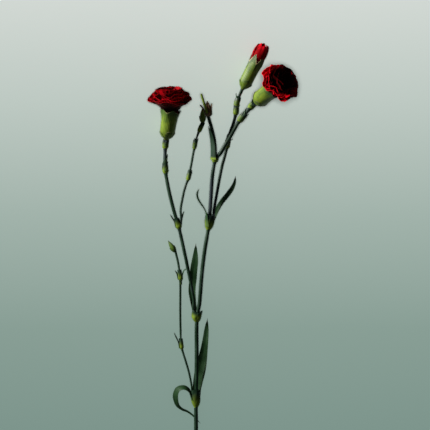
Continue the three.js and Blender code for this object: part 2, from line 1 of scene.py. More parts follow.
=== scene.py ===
# A cut spray of carnations lying on a pale table, seen from above. Metres, +Z up, +Y towards the flowers.
from copy import copy
import bpy
import numpy as np
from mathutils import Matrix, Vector


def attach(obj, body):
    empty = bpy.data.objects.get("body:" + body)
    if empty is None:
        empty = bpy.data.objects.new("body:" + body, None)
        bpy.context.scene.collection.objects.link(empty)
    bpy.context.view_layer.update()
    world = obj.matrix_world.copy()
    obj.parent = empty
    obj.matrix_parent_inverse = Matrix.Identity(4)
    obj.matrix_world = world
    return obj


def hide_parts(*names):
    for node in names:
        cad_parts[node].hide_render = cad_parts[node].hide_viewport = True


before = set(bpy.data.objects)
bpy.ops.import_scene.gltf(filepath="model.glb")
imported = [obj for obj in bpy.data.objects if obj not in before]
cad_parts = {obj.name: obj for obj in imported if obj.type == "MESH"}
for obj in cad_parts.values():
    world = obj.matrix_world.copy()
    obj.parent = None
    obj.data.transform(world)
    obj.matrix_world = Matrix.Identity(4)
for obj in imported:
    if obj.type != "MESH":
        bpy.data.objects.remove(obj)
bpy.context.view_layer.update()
mm = 0.001
upwards = np.array([0.0, 0.0, 1.0])
rng = np.random.default_rng(11)
rims = bpy.data.collections.new("rims")  # the outer petals of the flower that faces away from the key
spray = bpy.data.collections.new("spray")  # every piece, for the light that is kept off the table
print("frame loaded:", len(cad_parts), "solids")


def unit(v):
    return v / np.maximum(np.linalg.norm(v, axis=-1, keepdims=True), 1e-12)


def cornersOf(node):  # a solid's corners, merged, and its triangles
    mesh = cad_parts[node].data
    co = np.empty(len(mesh.vertices) * 3, np.float32)
    mesh.vertices.foreach_get("co", co)
    ties = np.empty(len(mesh.loops), np.int32)
    mesh.loops.foreach_get("vertex_index", ties)
    points, same = np.unique(co.reshape(-1, 3), axis=0, return_inverse=True)
    return points.astype(float), same.reshape(-1)[ties].reshape(-1, 3)


# A solid's section rings in order, counted outwards along its edges. They start from the tip that lies
# nearest to a point (tips meet the most edges), or from the given number of corners that lie furthest back
# along Y.
def ringsOf(node, near=None, seeds=0):
    points, tris = cornersOf(node)
    edges = np.concatenate([tris[:, [0, 1]], tris[:, [1, 2]], tris[:, [2, 0]]])
    level = np.full(len(points), -1)
    if seeds:
        level[np.argsort(points[:, 1])[:seeds]] = 0
    else:
        tips = np.argsort(-np.bincount(edges[:, 0]))[:2]
        level[tips[np.argmin(np.linalg.norm(points[tips] - near, axis=1))]] = 0
    step = 0
    while (level < 0).any():
        reached = edges[level[edges[:, 0]] == step, 1]
        step += 1
        level[reached[level[reached] < 0]] = step
    return [points[level == k] for k in range(step + 1)]


# Values at even steps along a line of points: cubic pieces whose slopes come from the points on either side.
def resampled(points, values, distances):
    t = np.concatenate([[0], np.cumsum(np.linalg.norm(np.diff(points, axis=0), axis=1))])
    slope = np.gradient(values, t, axis=0)
    d = np.clip(distances, t[0], t[-1])
    i = np.clip(np.searchsorted(t, d, side="right") - 1, 0, len(t) - 2)
    h = t[i + 1] - t[i]
    s = (d - t[i]) / h
    extra = (slice(None),) + (None,) * (np.ndim(values) - 1)
    s, h = s[extra], h[extra]
    return ((1 + 2 * s) * (1 - s) ** 2 * values[i] + s * (1 - s) ** 2 * h * slope[i]
            + s * s * (3 - 2 * s) * values[i + 1] + s * s * (s - 1) * h * slope[i + 1])


def lengthOf(points):
    return np.linalg.norm(np.diff(points, axis=0), axis=1).sum()


def framesOf(line):  # directions along a line, to its right on the table's plane, and over it
    along = unit(np.gradient(line, axis=0))
    side = unit(np.cross(along, upwards))
    return along, side, np.cross(side, along)


def ease(x):
    x = np.clip(x, 0, 1)
    return x * x * (3 - 2 * x)


meshSizes = {"clear": 0.05, "sharp": 1.1}  # height over the table in mm, angle of a sharp edge in radians


class Skin:  # gathers surfaces and makes one mesh of them
    def __init__(self):
        self.points, self.faces, self.uvs, self.tones, self.count = [], [], [], [], 0

    # Four-sided faces over a grid of points, rows by columns. uv holds a pair for each point, with one more
    # column where the grid closes on itself.
    def quads(self, start, rows, cols, closed, uv, flip):
        i, j = np.meshgrid(np.arange(rows - 1), np.arange(cols if closed else cols - 1), indexing="ij")
        ring = [(i, j), (i, j + 1), (i + 1, j + 1), (i + 1, j)]
        if flip:
            ring.reverse()
        self.faces.append(np.stack([start + a * cols + b % cols for a, b in ring], -1).reshape(-1, 4))
        self.uvs.append(np.stack([uv[a, b] for a, b in ring], -2).reshape(-1, 4, 2))

    def add(self, points, tone):
        start = self.count
        self.points.append(points.reshape(-1, 3))
        self.tones.append(np.broadcast_to(tone, points.shape[:-1]).reshape(-1))
        self.count += self.points[-1].shape[0]
        return start

    # A closed tube: rows of rings, and a pole at each end. run says how far along it each ring stands.
    def tube(self, grid, tone, run):
        rows, cols = grid.shape[:2]
        tone = np.broadcast_to(tone, (rows, cols))
        start = self.add(grid, tone)
        uv = np.stack(np.meshgrid(run, np.linspace(0, 1, cols + 1), indexing="ij")[::-1], -1)
        self.quads(start, rows, cols, True, uv, True)
        j = np.arange(cols)
        for row, flip in ((0, True), (rows - 1, False)):
            pole = self.add(grid[row].mean(0)[None], tone[row, :1])
            a, b = start + row * cols + j, start + row * cols + (j + 1) % cols
            if flip:
                a, b = b, a
            self.faces.append(np.stack([np.full(cols, pole), a, b, np.full(cols, -1)], -1))
            self.uvs.append(np.repeat(uv[row, :-1][:, None], 4, 1))

    # A thin closed wall either side of an open grid, or of one that closes round on itself. up says how far
    # up the wall each row stands.
    def shell(self, grid, thickness, tone, closed=False, up=None):
        rows, cols = grid.shape[:2]
        wide = np.concatenate([grid[:, -1:], grid, grid[:, :1]], 1) if closed else grid
        down, over = np.gradient(grid, axis=0), np.gradient(wide, axis=1)
        normal = unit(np.cross(over[:, 1:-1] if closed else over, down))
        half = np.broadcast_to(thickness / 2, (rows, cols))[..., None] * normal
        front, back = self.add(grid + half, tone), self.add(grid - half, tone)
        up = np.linspace(0, 1, rows) if up is None else up
        uv = np.stack(np.meshgrid(up, np.linspace(0, 1, cols + closed), indexing="ij")[::-1], -1)
        self.quads(front, rows, cols, closed, uv, True)
        self.quads(back, rows, cols, closed, uv, False)
        j, i = np.arange(cols + closed) % cols, np.arange(rows) * cols
        edges = [(j, uv[0]), ((rows - 1) * cols + j[::-1], uv[-1][::-1])]
        if not closed:
            edges += [(i[::-1], uv[::-1, 0]), (i + cols - 1, uv[:, -1])]
        for line, mark in edges:
            a, b = line[:-1], line[1:]
            self.faces.append(np.stack([front + a, front + b, back + b, back + a], -1))
            self.uvs.append(np.stack([mark[:-1], mark[1:], mark[1:], mark[:-1]], 1))

    def make(self, name, material, slot, *nodes):  # the piece, in place of the nodes
        faces = np.concatenate(self.faces)
        three = faces[:, 3] < 0  # a triangle's fourth corner is -1
        sizes = np.where(three, 3, 4)
        keep = np.ones(faces.shape, bool)
        keep[three, 3] = False
        mesh = bpy.data.meshes.new(name)
        points = np.concatenate(self.points)
        points[:, 2] = np.maximum(points[:, 2], meshSizes["clear"] * mm)  # nothing goes into the table
        mesh.vertices.add(len(points))
        mesh.vertices.foreach_set("co", points.astype(np.float32).reshape(-1))
        mesh.loops.add(int(sizes.sum()))
        mesh.loops.foreach_set("vertex_index", faces[keep].astype(np.int32))
        mesh.polygons.add(len(faces))
        mesh.polygons.foreach_set("loop_start", (np.cumsum(sizes) - sizes).astype(np.int32))
        mesh.uv_layers.new(name="UVMap").uv.foreach_set(
            "vector", np.concatenate(self.uvs)[keep].astype(np.float32).reshape(-1))
        mesh.attributes.new("tone", "FLOAT", "POINT").data.foreach_set(
            "value", np.concatenate(self.tones).astype(np.float32))
        mesh.update(calc_edges=True)
        mesh.validate()
        mesh.shade_smooth()
        mesh.set_sharp_from_angle(angle=meshSizes["sharp"])
        piece = bpy.data.objects.new(name, mesh)
        bpy.context.scene.collection.objects.link(piece)
        spray.objects.link(piece)
        mesh.materials.append(material)
        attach(piece, "root")
        if nodes:
            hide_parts(*nodes)
        return piece


class Wire:  # a socket that can be reckoned with
    def __init__(self, finish, socket):
        self.finish, self.socket = finish, socket

    def reckon(self, operation, a, b):
        return self.finish.node("ShaderNodeMath", {"operation": operation}, {0: a, 1: b})

    def __add__(self, other): return self.reckon("ADD", self, other)
    def __radd__(self, other): return self.reckon("ADD", other, self)
    def __sub__(self, other): return self.reckon("SUBTRACT", self, other)
    def __rsub__(self, other): return self.reckon("SUBTRACT", other, self)
    def __mul__(self, other): return self.reckon("MULTIPLY", self, other)
    def __rmul__(self, other): return self.reckon("MULTIPLY", other, self)
    def __truediv__(self, other): return self.reckon("DIVIDE", self, other)
    def __rtruediv__(self, other): return self.reckon("DIVIDE", other, self)
    def __pow__(self, other): return self.reckon("POWER", self, other)


class Finish:  # a material and its nodes
    def __init__(self, name, **fixed):
        self.material = bpy.data.materials.new(name)
        self.material.use_nodes = True
        self.tree = self.material.node_tree
        self.shader = next(n for n in self.tree.nodes if n.type == "BSDF_PRINCIPLED")
        for socket, value in fixed.items():
            self.shader.inputs[socket.replace("_", " ")].default_value = value

    # A node of a type: its settings are set first, then its sockets, by name or number, from values or wires.
    def node(self, kind, settings, sockets, output=0):
        node = self.tree.nodes.new(kind)
        for key, value in settings.items():
            if key == "stops":
                while len(node.color_ramp.elements) < len(value):
                    node.color_ramp.elements.new(0.5)
                for stop, (at, colour) in zip(node.color_ramp.elements, value):
                    stop.position = at
                    stop.color = (*colour, 1) if len(colour) == 3 else colour
            else:
                setattr(node, key, value)
        for key, value in sockets.items():
            self.set(node.inputs[key], value)
        return Wire(self, node.outputs[output])

    def set(self, socket, value):
        if isinstance(value, Wire):
            self.tree.links.new(value.socket, socket)
        elif isinstance(value, tuple) and len(value) == 3 and socket.type == "RGBA":
            socket.default_value = (*value, 1)
        else:
            socket.default_value = value

    def mix(self, share, a, b):
        return self.node("ShaderNodeMix", {"data_type": "RGBA"}, {0: share, 6: a, 7: b}, 2)

    def span(self, value, low, high):  # value from low..high onto 0..1, held at the ends
        return self.node("ShaderNodeMapRange", {"interpolation_type": "SMOOTHSTEP"},
                         {0: value, 1: low, 2: high, 3: 0.0, 4: 1.0})

    def noise(self, where, scale, detail=3.0, rough=0.55):
        return self.node("ShaderNodeTexNoise", {}, {"Vector": where, "Scale": scale, "Detail": detail,
                                                   "Roughness": rough}, "Fac")

    def stretched(self, where, x, y):
        return self.node("ShaderNodeVectorMath", {"operation": "MULTIPLY"}, {0: where, 1: (x, y, 1.0)})

    def part(self, where, which):  # across a surface is 0, up it is 1
        return self.node("ShaderNodeSeparateXYZ", {}, {0: where}, which)

    def places(self):  # a point's place in the object, and on its surface
        return (self.node("ShaderNodeTexCoord", {}, {}, "Object"),
                self.node("ShaderNodeUVMap", {"uv_map": "UVMap"}, {}))

    def tone(self):
        return self.node("ShaderNodeAttribute", {"attribute_name": "tone"}, {}, "Fac")

    def wear(self, colour, roughness, height, strength, distance):
        self.set(self.shader.inputs["Base Color"], colour)
        self.set(self.shader.inputs["Roughness"], roughness)
        bump = self.node("ShaderNodeBump", {}, {"Strength": strength, "Distance": distance, "Height": height})
        self.set(self.shader.inputs["Normal"], bump)
        return self.material


stemLook = {"deep": (0.004, 0.015, 0.006), "bloom": (0.016, 0.041, 0.023), "knot": (0.120, 0.180, 0.015),
            "violet": (0.020, 0.019, 0.036),
            "lines": 14, "bump": 0.35}


def stemSkin():
    m = Finish("stemSkin", Specular_IOR_Level=0.13)
    place, uv = m.places()
    patches = m.noise(place, 90, 4)
    streaks = m.noise(m.stretched(uv, stemLook["lines"], 1.5), 1.0, 3)
    bloom = m.span(patches * 0.6 + streaks * 0.4, 0.40, 0.66)
    skin = m.mix(bloom * 0.75, stemLook["deep"], stemLook["bloom"])
    skin = m.mix(m.span(m.noise(place, 22, 2), 0.48, 0.62) * 0.55, skin, stemLook["violet"])
    ripe = m.span(m.tone() + patches * 0.3 - 0.15, 0.15, 0.85)
    skin = m.mix(ripe, skin, stemLook["knot"])
    return m.wear(skin, 0.38 + 0.25 * bloom, streaks + patches * 0.5, stemLook["bump"], 0.0003)


leafLook = {"deep": (0.006, 0.027, 0.007), "bloom": (0.020, 0.056, 0.020), "base": (0.060, 0.105, 0.020),
            "edge": (0.05, 0.085, 0.03), "dry": (0.09, 0.055, 0.025), "veins": 22}


def leafSkin():
    m = Finish("leafSkin", Specular_IOR_Level=0.13)
    place, uv = m.places()
    patches = m.noise(place, 120, 5)
    veins = m.noise(m.stretched(uv, leafLook["veins"], 3), 1.0, 2)
    middle = m.node("ShaderNodeMath", {"operation": "ABSOLUTE"}, {0: m.part(uv, 0) - 0.5})
    skin = m.mix(m.span(patches * 0.5 + veins * 0.5, 0.38, 0.64), leafLook["deep"], leafLook["bloom"])
    skin = m.mix(m.span(middle, 0.055, 0.0) * 0.6, skin, leafLook["bloom"])
    skin = m.mix(m.span(middle, 0.455, 0.5) * 0.5, skin, leafLook["edge"])
    skin = m.mix(m.span(m.tone() + patches * 0.2 - 0.1, 0.2, 0.9), skin, leafLook["base"])
    skin = m.mix(m.span(m.part(uv, 1) + patches * 0.06, 0.96, 1.02) * 0.8, skin, leafLook["dry"])
    return m.wear(skin, 0.42 + 0.2 * patches, veins + patches * 0.4, 0.4, 0.0003)


calyxLook = {"light": (0.140, 0.200, 0.013), "rib": (0.026, 0.060, 0.005), "tip": (0.026, 0.062, 0.009),
             "margin": (0.26, 0.22, 0.10), "ribs": 35}
redBudLook = {"light": (0.115, 0.175, 0.014), "rib": (0.026, 0.062, 0.006), "tip": (0.020, 0.050, 0.008),
              "margin": (0.30, 0.26, 0.12), "ribs": 35}
twigBudLook = {"light": (0.060, 0.110, 0.012), "rib": (0.022, 0.052, 0.008), "tip": (0.012, 0.030, 0.006),
               "margin": (0.10, 0.12, 0.04), "ribs": 20}


def calyxSkin(name, look):
    m = Finish(name, Specular_IOR_Level=0.25)
    place, uv = m.places()
    patches = m.noise(place, 130, 4)
    wave = m.node("ShaderNodeMath", {"operation": "SINE"}, {0: m.part(uv, 0) * (look["ribs"] * 2 * np.pi)})
    ribs = m.span(wave + patches * 0.8, -0.2, 1.3)
    streaks = m.noise(m.stretched(uv, look["ribs"], 2.5), 1.0, 3)
    dark = ribs * 0.2 + m.span(streaks * 0.6 + patches * 0.4, 0.40, 0.66) * 0.75
    skin = m.mix(dark, look["light"], look["rib"])
    skin = m.mix(m.span(m.part(uv, 1) + patches * 0.25, 0.72, 1.15), skin, look["tip"])
    skin = m.mix(m.span(m.tone(), 0.3, 0.8), skin, look["margin"])
    return m.wear(skin, 0.40 + 0.2 * patches, ribs * -0.6 + patches * 0.6, 0.25, 0.0003)


# The darkest petal colour is painted shade, deep in a flower and towards each petal's foot; the rim colour is
# a painted highlight on a petal's edge.
petalLook = {"inside": (0.010, 0.0001, 0.0004), "deep": (0.07, 0.0004, 0.0014),
             "lit": (0.24, 0.0008, 0.0032), "rim": (0.46, 0.002, 0.008),
             "claw": (0.17, 0.006, 0.030), "veins": 30}
# A brighter copy of the same petal colours: painted light for the outer petals of the flower that faces away
# from the key.
paintedLitPetalLook = {"inside": (0.010, 0.0001, 0.0004), "deep": (0.16, 0.0008, 0.003),
                "lit": (0.50, 0.0015, 0.006), "rim": (0.62, 0.003, 0.010),
                "claw": (0.30, 0.008, 0.040), "veins": 30}


def petalSkin(name, look):
    m = Finish(name, Specular_IOR_Level=0.02, Sheen_Weight=0.02, Sheen_Roughness=0.4,
               Sheen_Tint=(0.9, 0.08, 0.08, 1))
    place, uv = m.places()
    patches = m.noise(place, 160, 4)
    veins = m.noise(m.stretched(uv, look["veins"], 1.5), 1.0, 2)
    skin = m.mix(m.span(patches * 0.45 + veins * 0.55, 0.36, 0.62), look["deep"], look["lit"])
    # painted shade: where the tone is low the petal darkens to near black
    skin = m.mix(m.span(m.tone() + patches * 0.2 - 0.1, 0.25, 0.75), look["inside"], skin)
    # painted highlight: where the tone is highest the petal's rim brightens
    skin = m.mix(m.span(m.tone(), 0.85, 1.0) * 0.7, skin, look["rim"])
    skin = m.mix(m.span(m.part(uv, 1), 0.40, 0.12), skin, look["claw"])
    return m.wear(skin, 0.5 + 0.2 * patches, veins + patches * 0.3, 0.5, 0.0004)


witheredLook = {"dark": (0.045, 0.022, 0.010), "dry": (0.13, 0.075, 0.040), "pale": (0.22, 0.15, 0.09)}


def witheredSkin():
    m = Finish("witheredSkin", Specular_IOR_Level=0.2)
    place, uv = m.places()
    patches = m.noise(place, 300, 5)
    veins = m.noise(m.stretched(uv, 16, 2), 1.0, 3)
    skin = m.mix(m.span(patches * 0.5 + veins * 0.5, 0.35, 0.62), witheredLook["dark"], witheredLook["dry"])
    skin = m.mix(m.span(m.tone(), 0.3, 0.9), skin, witheredLook["pale"])
    return m.wear(skin, 0.7 + 0.2 * patches, veins + patches, 0.6, 0.0004)


cutLook = {"pith": (0.30, 0.33, 0.14), "skin": (0.10, 0.14, 0.05)}


def cutSkin():
    m = Finish("cutSkin", Specular_IOR_Level=0.3)
    place, uv = m.places()
    patches = m.noise(place, 900, 4)
    skin = m.mix(m.span(m.tone() + patches * 0.4, 0.75, 1.15), cutLook["pith"], cutLook["skin"])
    return m.wear(skin, 0.6 + 0.2 * patches, patches, 0.5, 0.0003)


stemFinish, leafFinish, calyxFinish = stemSkin(), leafSkin(), calyxSkin("calyxSkin", calyxLook)
twigBudFinish, redBudFinish = calyxSkin("greenBudSkin", twigBudLook), calyxSkin("redBudSkin", redBudLook)
petalFinish, paintedLitPetalFinish = petalSkin("petalSkin", petalLook), petalSkin("paintedLitPetalSkin", paintedLitPetalLook)
witheredFinish, cutFinish = witheredSkin(), cutSkin()
print("materials made")


stalkSizes = {"step": 0.9, "sides": 20, "ridge": 0.035, "ridges": 3, "twist": 30, "waves": 70,
              "sink": 2.2, "knot": 0.5, "full": 1.06}  # twist and waves for each metre


def stalkPath(node):  # the middle line of a stalk's solid and its radius, with its knots a little slimmer
    rings = ringsOf(node, near=np.array([0, -9.0, 0]))[1:-1]
    line = np.array([r.mean(0) for r in rings])
    radius = np.array([np.linalg.norm(r - r.mean(0), axis=1).mean() for r in rings]) * stalkSizes["full"]
    plain = np.minimum(radius, np.median(radius) * 1.15)
    return line, plain + (radius - plain) * stalkSizes["knot"]


stalks = {name: stalkPath(name) for name in
          ("main_stem", "left_flower_stalk", "green_bud_stalk", "red_bud_stalk", "right_flower_stalk",
           "lower_twig", "snipped_stalk")}


# The knots along a stalk: where its radius stands above that of the rings on either side.
def knotsOf(line, radius):
    run = np.concatenate([[0], np.cumsum(np.linalg.norm(np.diff(line, axis=0), axis=1))])
    return [run[i] for i in range(2, len(run) - 2)
            if radius[i] >= radius[i - 2:i + 3].max() and radius[i] > 1.12 * np.median(radius)]


# A stalk: rings round its line, each radius swelling slightly along and round it, sunk into its parent at the
# start and into what it carries at the end. The tone is greener at its knots.
def addStalk(skin, line, radius, root=None, sink=stalkSizes["sink"], green=0.0):
    if root is not None:
        line = np.concatenate([[root], line])
        radius = np.concatenate([radius[:1] * 0.9, radius])
    if sink:
        line = np.concatenate([line, [line[-1] + sink * mm * unit(line[-1] - line[-2])]])
        radius = np.concatenate([radius, radius[-1:]])
    long = lengthOf(line)
    run = np.linspace(0, long, int(long / (stalkSizes["step"] * mm)))
    thick, path = resampled(line, radius, run)[:, None], resampled(line, line, run)
    along, side, over = framesOf(path)
    turn = np.linspace(0, 2 * np.pi, stalkSizes["sides"], endpoint=False)
    ridge = np.sin(stalkSizes["ridges"] * turn + stalkSizes["twist"] * run[:, None] + rng.uniform(0, 6))
    thick = thick * (1 + stalkSizes["ridge"] * ridge * np.cos(stalkSizes["waves"] * run[:, None]))
    grid = path[:, None] + thick[..., None] * (
        np.cos(turn)[:, None] * side[:, None] + np.sin(turn)[:, None] * over[:, None])
    knots = np.array(knotsOf(line, radius))
    tone = 0.7 * np.exp(-((run[:, None] - knots) / (2.6 * mm)) ** 2).sum(1)
    skin.tube(grid, np.clip(tone + green, 0, 1)[:, None], run * 30)


collarSizes = {"wall": 0.8, "thinner": 0.45, "sunk": 0.55, "seam": 0.10, "lobes": 0.035, "broad": 1.1,
               "flat": 0.9}


# A collar of joined leaf feet over a knot: a cup round the stalk, narrow at its foot and widening to a rim
# that rises on two sides. It is broader along the table than off it, leans by shift towards a side stalk,
# and may close in at its rim.
def addCollar(skin, line, radius, at, below, above, wide, lift, turned, tone, shift=0.0, close=0.3):
    share = np.linspace(0, 1, 24)[:, None]
    run = at - below + (below + above) * share[:, 0]
    path = resampled(line, line, run)
    along, side, over = (v[:, None] for v in framesOf(path))
    turn = np.linspace(0, 2 * np.pi, 32, endpoint=False)
    base = resampled(line, radius, run)[:, None]
    swell = ease(share * 1.7) - close * ease((share - 0.5) / 0.5)
    thick = base + 0.12 * mm + (wide - base) * swell - collarSizes["sunk"] * mm * (1 - ease(share * 5))
    seam = -collarSizes["seam"] * np.exp(-(np.sin(turn - turned) / 0.25) ** 2)
    thick = thick * (1 + (seam + collarSizes["lobes"] * np.sin(5 * turn + 9 * share)) * ease(share * 2))
    raised = lift * (0.5 - 0.5 * np.cos(2 * (turn - turned))) * ease(share) ** 2
    across = thick * np.cos(turn) * collarSizes["broad"] + shift * swell
    off = thick * np.sin(turn) * collarSizes["flat"]
    grid = path[:, None] + across[..., None] * side + raised[..., None] * along + off[..., None] * over
    skin.shell(grid, (collarSizes["wall"] - collarSizes["thinner"] * share) * mm,
               np.clip(tone * (1 - share), 0, 1), closed=True)


stemPiece = Skin()
mainLine, mainRadius = stalks["main_stem"]
mainKnots = knotsOf(mainLine, mainRadius)
print("knots of the main stem:", [round(float(k) / mm) for k in mainKnots])
addStalk(stemPiece, mainLine, mainRadius)
stemPiece.make("mainStem", stemFinish, "stem", "main_stem")

knotPoints = resampled(mainLine, mainLine, np.array(mainKnots))
leftLine, leftRadius = stalks["left_flower_stalk"]
leftFork = resampled(leftLine, leftLine, np.array(knotsOf(leftLine, leftRadius)[:1]))[0]
sideStalks = {
    "left_flower_stalk": ("leftFlowerStalk", knotPoints[1]), "green_bud_stalk": ("greenBudStalk", leftFork),
    "red_bud_stalk": ("redBudStalk", knotPoints[2]),
    "right_flower_stalk": ("rightFlowerStalk", knotPoints[3]), "lower_twig": ("lowerTwig", knotPoints[0])}
for name, (label, fork) in sideStalks.items():
    piece = Skin()
    addStalk(piece, *stalks[name], root=fork)
    piece.make(label, stemFinish, "stem", name)
piece = Skin()
addStalk(piece, *stalks["snipped_stalk"], sink=0, green=0.8)
piece.make("snippedStalk", stemFinish, "stem", "snipped_stalk")


cutSizes = {"thick": 0.3, "dish": 0.25, "proud": 0.25}


# Cut faces: a slightly dished disc at the end of a stalk, with pith inside and a ring of skin.
def addCut(skin, centre, axis, radius):
    side = unit(np.cross(axis, upwards))
    over = np.cross(side, axis)
    share = np.linspace(0.04, 1.0, 9)
    turn = np.linspace(0, 2 * np.pi, 24, endpoint=False)
    dish = -cutSizes["dish"] * mm * (1 - share ** 2) + 0.05 * mm * np.sin(9 * share)
    grid = centre + share[:, None, None] * radius * (
        np.cos(turn)[None, :, None] * side + np.sin(turn)[None, :, None] * over) + dish[:, None, None] * axis
    skin.shell(grid, cutSizes["thick"] * mm, share[:, None], closed=True)


cuts = Skin()
cutWay = np.array([0, -1.0, 0])
addCut(cuts, mainLine[0] + cutSizes["proud"] * mm * cutWay, cutWay, mainRadius[0])
snipLine, snipRadius = stalks["snipped_stalk"]
snipAxis = unit(snipLine[-1] - snipLine[-2])
addCut(cuts, snipLine[-1] + cutSizes["proud"] * mm * snipAxis, snipAxis, snipRadius[-1])
cuts.make("cutFaces", cutFinish, "stem")

collars = Skin()
mainCollars = [  # widest, reach under and over the knot, turn, lean towards the side stalk, green, closing in
    (3.9, 6.0, 9, 0.2, -0.3, 1.0, 0.15), (3.9, 5.5, 3.5, 1.5, -0.5, 1.5, -0.06),
    (3.9, 3.8, 10, 1.3, 0.4, 1.0, 0.1), (2.4, 3.2, 4, 1.6, 0.5, 1.2, 0.0)]
sideCollars = {"over": 0.2, "below": 2.4, "above": 6.5, "lift": 1.5, "green": 1.0}
for knot, (wide, below, above, turned, shift, green, close) in zip(mainKnots, mainCollars):
    addCollar(collars, mainLine, mainRadius, knot, below * mm, above * mm, wide * mm, 2.8 * mm, turned, green,
              shift * mm, close)
for name in sideStalks:
    line, radius = stalks[name]
    for knot in knotsOf(line, radius):
        wide = resampled(line, radius, np.array([knot]))[0] + sideCollars["over"] * mm
        addCollar(collars, line, radius, knot, sideCollars["below"] * mm, sideCollars["above"] * mm, wide,
                  sideCollars["lift"] * mm, rng.uniform(0, 3), sideCollars["green"])
collars.make("knotCollars", stemFinish, "stem")
print("stalks made")


# A leaf's solid as lines along it: its middle, its sideways and hollow directions, half its width, its depth.
def leafLines(node, backwards=False):
    rings = ringsOf(node, seeds=8)
    if backwards:
        rings.reverse()
    rings = np.array(rings)
    far = np.linalg.norm(rings[:, :, None] - rings[:, None], axis=-1).reshape(len(rings), -1).argmax(1)
    rows = np.arange(len(rings))
    a, b = rings[rows, far // 8], rings[rows, far % 8]
    edgeMiddle = (a + b) / 2
    lateral = unit(b - a)
    for i in rows[1:]:
        lateral[i] *= np.sign(lateral[i] @ lateral[i - 1])
    off = np.abs(((rings - edgeMiddle[:, None]) * lateral[:, None]).sum(-1))
    middle = np.take_along_axis(rings, off.argsort(1)[:, :4, None], 1).mean(1)
    hollow = unit(np.cross(lateral, np.gradient(middle, axis=0)))
    depth = ((edgeMiddle - middle) * hollow).sum(-1)
    if depth.sum() < 0:
        hollow, depth, lateral = -hollow, -depth, -lateral
    half = np.linalg.norm(b - a, axis=1) / 2
    return middle, lateral, hollow, half, depth


leafSizes = {"extend": 2.0, "wave": 0.25, "thick": 0.55, "tip": 0.12, "groove": 0.25, "pale": 10.0,
             "broad": 1.0}
leaves = {  # each leaf's solid, and where it differs
    "lowerLeaf": ("lower_leaf", {"wave": 0.35, "pale": 9}),
    "curledLeaf": ("curled_leaf", {"wave": 0.1, "pale": 8, "groove": 0.15}),
    "middleLeaf": ("middle_leaf", {"wave": 0.3, "pale": 8}),
    "upperLeaf": ("upper_leaf", {"wave": 0.15, "pale": 9, "extend": 0.5}),
    "thinLeaf": ("thin_leaf", {"wave": 0.05, "pale": 12, "groove": 0.1, "extend": 0.5}),
    "claspingLeaf": ("clasping_leaf", {"wave": 0.1, "pale": 4, "groove": 0.15, "broad": 1.5, "extend": 0.5}),
}
bractSizes = {"extend": 1.5, "wave": 0.05, "thick": 0.4, "groove": 0.08, "pale": 3}
bractNodes = ("fork_bract_left", "fork_bract_right", "twig_bract_lower", "twig_bract_left",
              "twig_bract_right")


# A leaf: across its width it is a shallow channel, depth times the square of the distance from the middle,
# with a groove along the middle, a keel under it, waves along its edges and a drawn-out point. Its foot is
# carried back into its knot.
def addLeaf(skin, lines, sizes, foot=None):
    middle, lateral, hollow, half, depth = lines
    if foot is None:
        foot = middle[0] + unit(middle[0] - middle[1]) * sizes["extend"] * mm
    middle = np.concatenate([[foot], middle])
    lateral, hollow, half, depth = (np.concatenate([v[:1], v]) for v in
                                    (lateral, hollow, half * sizes["broad"], depth))
    long = lengthOf(middle)
    run = np.linspace(0, long, max(24, int(long / (0.9 * mm))))
    path, sideways, inward, wide, deep = (resampled(middle, v, run)[:, None] for v in
                                          (middle, unit(lateral), unit(hollow), half, depth))
    share = (run / long)[:, None]
    wide = np.maximum(wide, 0.1 * mm) * (1 - (1 - sizes["tip"]) * ease((share - 0.93) / 0.07))
    x = np.linspace(-1, 1, 17)[None]
    phase = rng.uniform(0, 6, 3)[0]
    ripple = np.sin(run[:, None] / (5 * mm) + phase + 1.7 * np.sign(x)) * np.abs(x) ** 2 * ease(share * 4)
    groove = sizes["groove"] * mm * np.exp(-(x / 0.16) ** 2) * ease(share * 5) * ease((1 - share) * 5)
    channel = deep * x ** 2 - groove + sizes["wave"] * mm * ripple
    grid = path + (wide * x)[..., None] * sideways + channel[..., None] * inward
    keel = 0.45 + 0.55 * (1 - x ** 2) + 0.8 * np.exp(-(x / 0.13) ** 2)
    tone = np.clip(1 - run / (sizes["pale"] * mm), 0, 1)[:, None] * 0.9
    skin.shell(grid, sizes["thick"] * mm * keel * (1 - 0.6 * share ** 3), tone)


for label, (node, own) in leaves.items():
    piece = Skin()
    curled = node == "curled_leaf"  # its solid runs the other way, and its foot goes under its collar
    foot = knotPoints[0] + np.array([-1.0, -2.5, -1.5]) * mm if curled else None
    addLeaf(piece, leafLines(node, backwards=curled), leafSizes | own, foot)
    piece.make(label, stemFinish if node == "clasping_leaf" else leafFinish, "leaf", node)
bracts = Skin()
for node in bractNodes:
    addLeaf(bracts, leafLines(node), leafSizes | bractSizes)
bracts.make("smallBracts", leafFinish, "leaf", *bractNodes)


sheathSizes = {"stand": 0.4, "wall": 0.45, "tip": 1.5}
sheathNodes = {"left_stalk_sheath": "left_flower_stalk", "right_stalk_sheath": "right_flower_stalk",
               "red_bud_sheath": "red_bud_stalk", "green_bud_sheath": "green_bud_stalk"}
smallSheaths = {  # back from the stalk's end, length, side (0 right, pi left), how far the point stands off
    "right_flower_stalk": [(23, 9, 0.3, 1.0), (7.5, 8, 2.9, 2.2), (7.5, 6, -0.3, 0.8)],
    "red_bud_stalk": [(55, 8, -0.2, 2.4), (22, 8, 0.2, 0.9), (14.5, 10, 3.0, 2.0)],
    "left_flower_stalk": [(5.5, 5, 0.4, 0.8), (5.5, 5, 3.4, 0.9), (29, 9, -0.5, 0.9)],
    "green_bud_stalk": [(54, 6, 0.2, 0.9), (23.5, 6, 3.2, 1.1)],
    "lower_twig": [(31, 6, 0.3, 0.9)],
}


